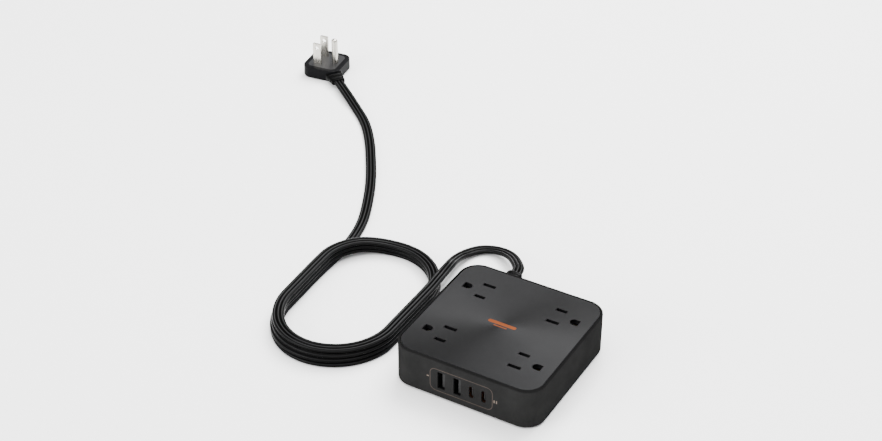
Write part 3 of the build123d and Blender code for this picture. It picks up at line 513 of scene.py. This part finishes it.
# Nodes that come in numbers, by the start of their names.
GROUP_MATERIALS = {
    "usb_a_shell": "port",
    "usb_c_shell": "port_c",
    "usb_a_tongue": "insulator",
    "usb_c_tongue": "insulator",
    "usb_a_contacts": "gold",
    "varistor": "varistor",
    "capacitor": "sleeve",
    "outlet_core": "core",
}


def material_of(node_name):
    """The material of a node, or None for a node that a piece of this script stands for."""
    grouped = (kind for start, kind in GROUP_MATERIALS.items() if node_name.startswith(start))
    return MATERIALS.get(NODE_MATERIALS.get(node_name) or next(grouped, None))


for node_name, cad in NODES.items():
    shade(cad)
    paint = material_of(node_name)
    if paint:
        cad.data.materials.clear()
        cad.data.materials.append(paint)


# ---------------------------------------------------------------- cord
def coil_points():
    """Control points of the wound turns, from the top turn's right side to the lowest one's left side."""
    points = []
    for turn, (radius, height, front_y) in enumerate(zip(PASS_RADIUS, PASS_HEIGHT, PASS_FRONT_Y)):
        corner = radius / math.cos(HALF_ARC_STEP)
        middle = COIL_X + COIL_UNEVENNESS * math.sin(UNEVEN_RATE * turn + UNEVEN_START)
        side = front_y - COIL_BACK_Y
        for share in SIDE_SHARES:
            points.append((COIL_X + radius, COIL_BACK_Y + side * share, height))
        for angle in ARC_ANGLES:
            points.append((middle + corner * math.cos(angle), front_y - corner * math.sin(angle), height))
        for share in SIDE_SHARES:
            points.append((COIL_X - radius, front_y - side * share, height))
        if turn == len(PASS_RADIUS) - 1:
            break
        back, after = BACK_HEIGHT[turn], PASS_HEIGHT[turn + 1]
        outer = (radius + PASS_RADIUS[turn + 1]) / 2 / math.cos(HALF_ARC_STEP)
        levels = (height, height + (back - height) * BACK_DROP_START, back, back, back, after)
        for angle, level in zip(ARC_ANGLES, levels):
            points.append((COIL_X - outer * math.cos(angle), COIL_BACK_Y + outer * math.sin(angle), level))
    return [lean(*point) for point in points]


def lean(x, y, z):
    """The left side of the coil leans: out at the back, in at the front."""
    leftward = min(1.0, max(0.0, (COIL_X - x) / PASS_RADIUS[0]))
    forward = min(LEAN_LIMIT, max(0.0, (COIL_BACK_Y - y) / (COIL_BACK_Y - PASS_FRONT_Y[0])))
    return (x + leftward * (LEFT_BACK_SHIFT + (LEFT_FRONT_SHIFT - LEFT_BACK_SHIFT) * forward), y, z)


def route_line():
    """Points along the cord's own NURBS spline."""
    curve = bpy.data.curves.new("cord_route", "CURVE")
    curve.dimensions = "3D"
    curve.resolution_u = 10
    spline = curve.splines.new("NURBS")
    controls = LOOP_ROUTE + coil_points() + LEAD_ROUTE
    spline.points.add(len(controls) - 1)
    for point, place in zip(spline.points, controls):
        point.co = (*(Vector(place) * MM), 1)
    spline.order_u = 3
    spline.use_endpoint_u = True
    holder = link(bpy.data.objects.new("cord_route", curve))
    bpy.context.view_layer.update()
    mesh = bpy.data.meshes.new_from_object(holder)
    line = [vertex.co.copy() for vertex in mesh.vertices]
    bpy.data.objects.remove(holder)
    bpy.data.meshes.remove(mesh)
    return line


def jacket_outline():
    """Section of the jacket: three round lobes that meet in valleys, as (across, up) pairs."""
    radius = CORD_THICKNESS / 2
    edge = CORD_WIDTH / 2 - radius
    valley = math.degrees(math.acos(edge / 2 / radius))
    upper = [(-CORD_WIDTH / 2, 0)]
    for lobe, first, last in ((-edge, 180, valley), (0, 180 - valley, valley), (edge, 180 - valley, 0)):
        for i in range(1, LOBE_STEPS + 1):
            angle = math.radians(first + (last - first) * i / LOBE_STEPS)
            upper.append((lobe + radius * math.cos(angle), radius * math.sin(angle)))
    lower = [(-across, -up) for across, up in upper[1:-1]]
    return [(across * MM, up * MM) for across, up in upper + lower]


def ribbon(line, outline):
    """Rings of the outline along the line, level across."""
    rings = []
    for i, point in enumerate(line):
        before, after = line[max(i - 1, 0)], line[min(i + 1, len(line) - 1)]
        heading = (after - before).normalized()
        across = heading.cross(UP).normalized()
        up = across.cross(heading).normalized()
        rings.append([point + across * a + up * u for a, u in outline])
    return rings


def mark_rib_highlights(obj, ring_count):
    """Gives each crest of the jacket the painted highlight value 1, its upper shoulders less, and the rest
    0.
    """
    ring = [0.0] * (len(obj.data.vertices) // ring_count)
    half = len(ring) // 2
    for crest in RIB_CRESTS:
        ring[crest] = ring[half + crest] = 1.0
    for shoulder in RIB_SHOULDERS:
        ring[shoulder] = SHOULDER_HIGHLIGHT
    rib_highlight = obj.data.attributes.new("rib_highlight", "FLOAT", "POINT")
    rib_highlight.data.foreach_set("value", ring * ring_count)


cord_line = route_line()
cord = loft("flat_cord", ribbon(cord_line, jacket_outline()))
cord.data.materials.append(MATERIALS["rib_highlighted"])
shade(cord, CORD_SMOOTH_BELOW)
# Marks where the cord's painted highlight goes.
mark_rib_highlights(cord, len(cord_line))


# ---------------------------------------------------------------- strain reliefs
def oval_ring(centre, across, width, height):
    """One upright ring of a rounded oval section."""
    ring = []
    for i in range(OVAL_POINTS):
        angle = 2 * math.pi * i / OVAL_POINTS
        c, s = math.cos(angle), math.sin(angle)
        a = math.copysign(abs(c) ** (2 / OVAL_POWER), c) * width / 2
        u = math.copysign(abs(s) ** (2 / OVAL_POWER), s) * height / 2
        ring.append(centre + across * a + UP * u)
    return ring


def collar(name, start, heading, length, root, tip, grooves, groove_depth):
    """Soft tapered collar with cross grooves; it starts at the root and thins towards the tip.

    The start is in metres, and the other sizes are in millimetres.
    """
    across = heading.cross(UP).normalized()
    rings = []
    for i in range(COLLAR_STEPS + 1):
        share = i / COLLAR_STEPS
        ease = share ** (1 - COLLAR_FLARE * (1 - share))
        inset = 0.0
        if GROOVES_FROM < share < GROOVES_TO:
            phase = (share - GROOVES_FROM) / (GROOVES_TO - GROOVES_FROM) * grooves
            inset += 2 * groove_depth * max(0.0, math.cos(2 * math.pi * (phase - 0.5))) ** 2
        if share > END_ROUNDING_FROM:
            inset += (share - END_ROUNDING_FROM) / (1 - END_ROUNDING_FROM) * END_ROUNDING
        width, height = (low + (high - low) * ease - inset for low, high in zip(root, tip))
        rings.append(oval_ring(start + heading * (length * share * MM), across, width * MM, height * MM))
    return loft(name, rings)


RELIEF_TIP = Vector(LOOP_ROUTE[0]) * MM
wall_face = SHELL_TOP_CORNER.y
relief = collar(
    "cord_strain_relief",
    Vector((RELIEF_TIP.x, wall_face - RELIEF_SINK * MM, RELIEF_TIP.z)),
    Vector((0, 1, 0)),
    (RELIEF_TIP.y - wall_face) / MM + RELIEF_SINK,
    RELIEF_ROOT,
    RELIEF_END,
    RELIEF_GROOVES,
    RELIEF_GROOVE_DEPTH,
)
plug_low, plug_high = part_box("plug_body")
lead_end = Vector(LEAD_ROUTE[-1]) * MM
outward = lead_end - (plug_low + plug_high) / 2
outward = Vector((outward.x, outward.y, 0)).normalized()
plug_collar = collar(
    "plug_collar",
    lead_end - outward * (PLUG_COLLAR_LENGTH * MM),
    outward,
    PLUG_COLLAR_LENGTH,
    PLUG_COLLAR_ROOT,
    PLUG_COLLAR_END,
    PLUG_COLLAR_GROOVES,
    PLUG_COLLAR_GROOVE_DEPTH,
)
for piece, cad_name in ((relief, "strain_relief"), (plug_collar, "plug_strain_relief")):
    piece.data.materials.append(MATERIALS["jacket"])
    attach(piece, HUB)
    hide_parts(cad_name)

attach(cord, HUB)
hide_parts("cord_loop", "cord_coil", "cord_lead")


# ---------------------------------------------------------------- floor, light and camera
FLOOR_CORNERS = [(x * FLOOR_REACH, y * FLOOR_REACH, 0) for x, y in ((-1, -1), (1, -1), (1, 1), (-1, 1))]
floor = mesh_object("floor", FLOOR_CORNERS, [(0, 1, 2, 3)], smooth=False)
floor.data.materials.append(new_material("floor_white", (FLOOR_WHITE,) * 3, FLOOR_ROUGHNESS)[0])

world = bpy.data.worlds.new("studio")
bpy.context.scene.world = world
world.use_nodes = True
sky = world.node_tree.nodes["Background"]
sky.inputs["Color"].default_value = (1, 1, 1, 1)
sky.inputs["Strength"].default_value = WORLD_STRENGTH


def softbox(name, place, target, size, power):
    """A rectangular lamp that faces its target; places and sizes in metres, power in watts."""
    lamp = bpy.data.lights.new(name, "AREA")
    lamp.shape = "RECTANGLE"
    lamp.size, lamp.size_y = size
    lamp.energy = power
    holder = link(bpy.data.objects.new(name, lamp))
    holder.location = place
    holder.rotation_euler = (Vector(target) - Vector(place)).to_track_quat("-Z", "Y").to_euler()


softbox("top_softbox", place=(-0.1, 0.05, 1.8), target=(-0.1, 0.05, 0), size=(1.8, 1.8), power=70)
softbox("back_softbox", place=(-0.06, 1.24, 1.47), target=(0, 0, 0), size=(1.3, 1.0), power=90)
softbox("front_softbox", place=(-1.1, -1.5, 0.9), target=(0, 0, 0), size=(1.2, 1.0), power=48)

camera_data = bpy.data.cameras.new("camera")
camera_data.sensor_width = CAMERA_SENSOR
camera_data.lens = CAMERA_LENS
camera_data.clip_start = CAMERA_NEAREST
camera = link(bpy.data.objects.new("camera", camera_data))
aim = Matrix.Translation(CAMERA_PLACE)
for degrees, axis in ((CAMERA_HEADING, "Z"), (90 - CAMERA_DIP, "X"), (CAMERA_ROLL, "Z")):
    aim = aim @ Matrix.Rotation(math.radians(degrees), 4, axis)
camera.matrix_world = aim
bpy.context.scene.camera = camera
